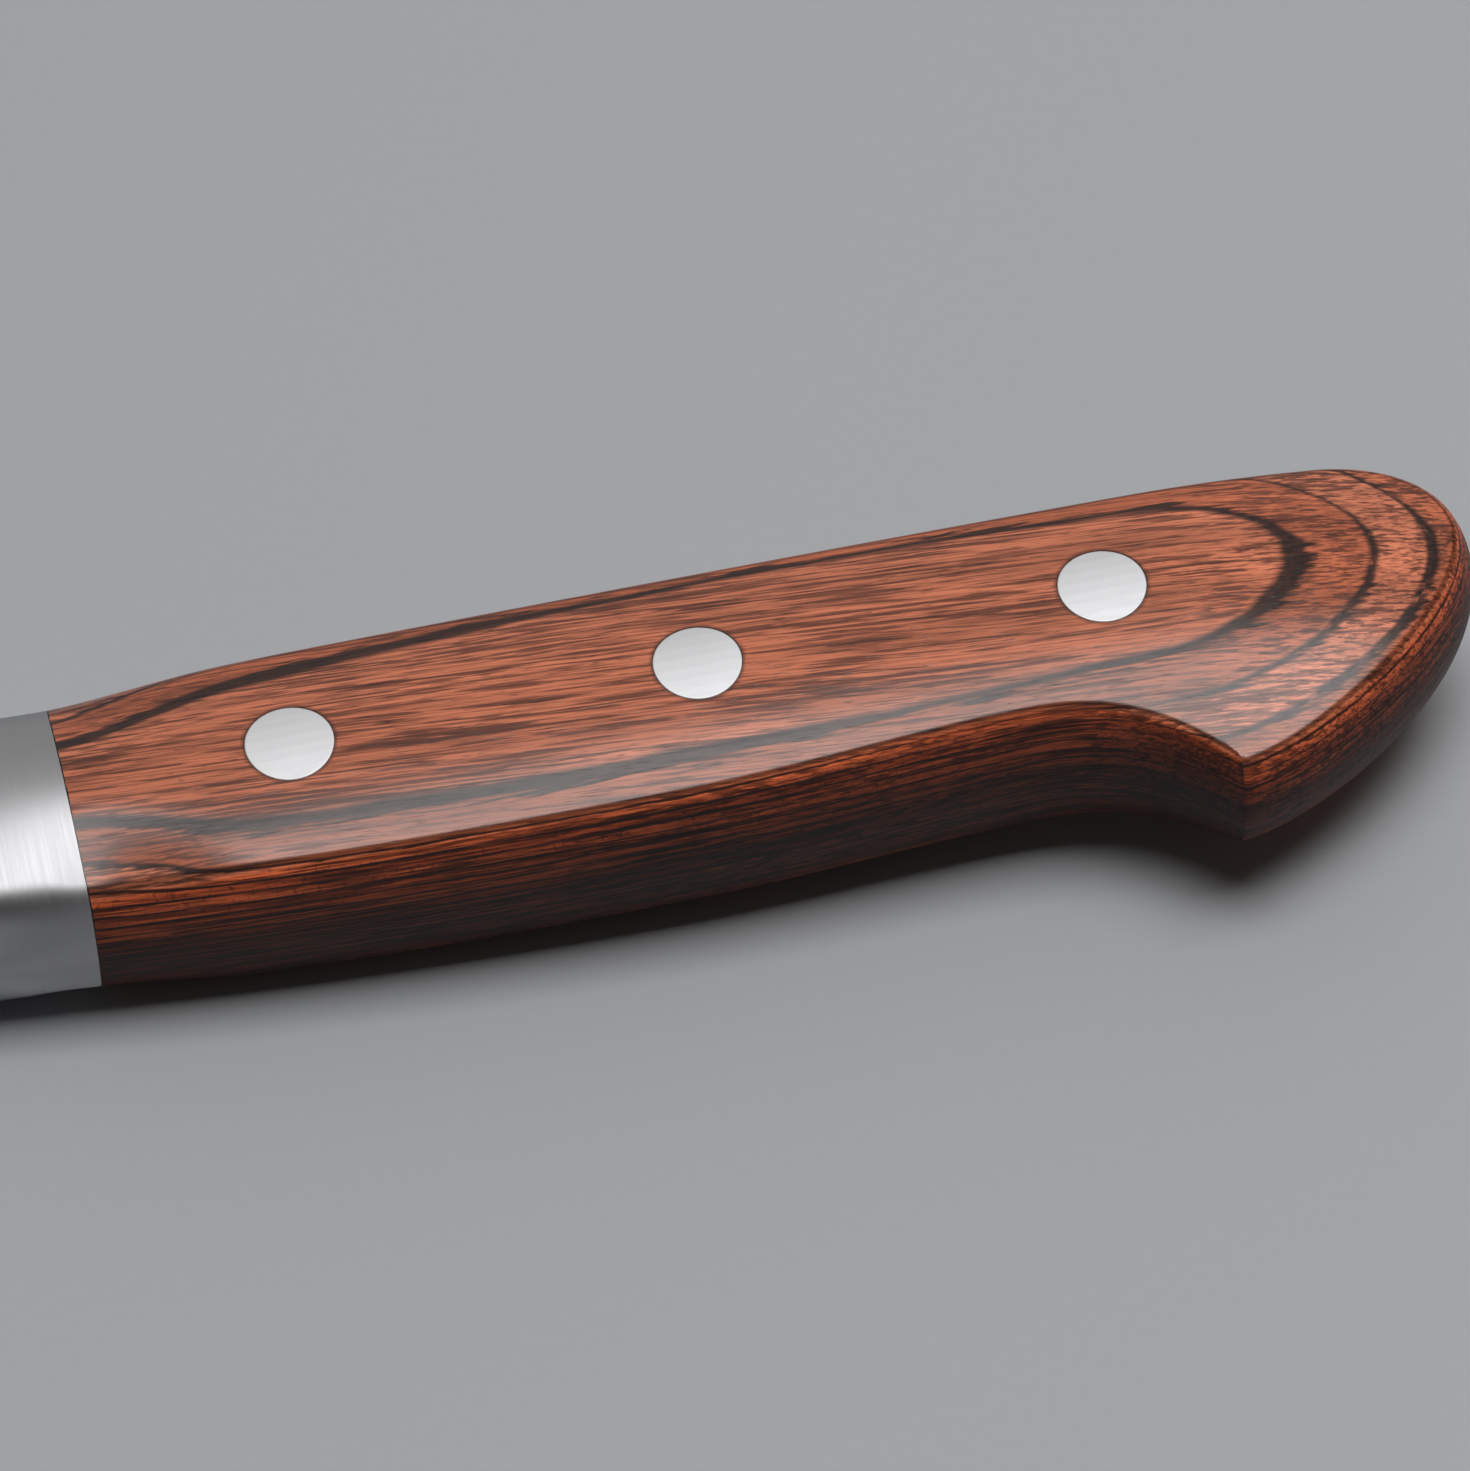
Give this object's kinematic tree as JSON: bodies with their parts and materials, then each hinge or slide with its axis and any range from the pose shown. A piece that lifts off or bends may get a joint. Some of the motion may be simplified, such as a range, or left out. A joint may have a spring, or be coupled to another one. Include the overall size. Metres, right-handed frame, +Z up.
{
  "type": "nakiri knife",
  "caption": "Nakiri vegetable knife with a straight-edged laminated steel blade, a smooth steel bolster and a riveted laminated-wood handle with a finger groove and a beaked butt.",
  "frame": {"origin": "under the middle of the knife's box, on the surface that the knife lies on", "axes": "+X along the knife from the blade to the butt, +Y from the edge to the spine, +Z up out of the left face as the knife lies on its right side"},
  "size_m": [0.303, 0.048, 0.0172],
  "materials": {
    "core_steel": "polished cutting steel",
    "cladding_steel": "fine satin stainless",
    "bolster_steel": "satin stainless, brushed across the knife",
    "rivet_steel": "fine satin, sanded flush with the wood",
    "laminated_wood": "resin-filled laminated hardwood, polished"
  },
  "bodies": {
    "root": {"core_steel": "core_steel", "left_cladding": "cladding_steel", "right_cladding": "cladding_steel", "left_bolster": "bolster_steel", "right_bolster": "bolster_steel", "handle": "laminated_wood", "front_rivet_socket": "rivet_steel", "front_rivet_post": "rivet_steel", "middle_rivet_socket": "rivet_steel", "middle_rivet_post": "rivet_steel", "rear_rivet_socket": "rivet_steel", "rear_rivet_post": "rivet_steel"}
  },
  "joints": []
}
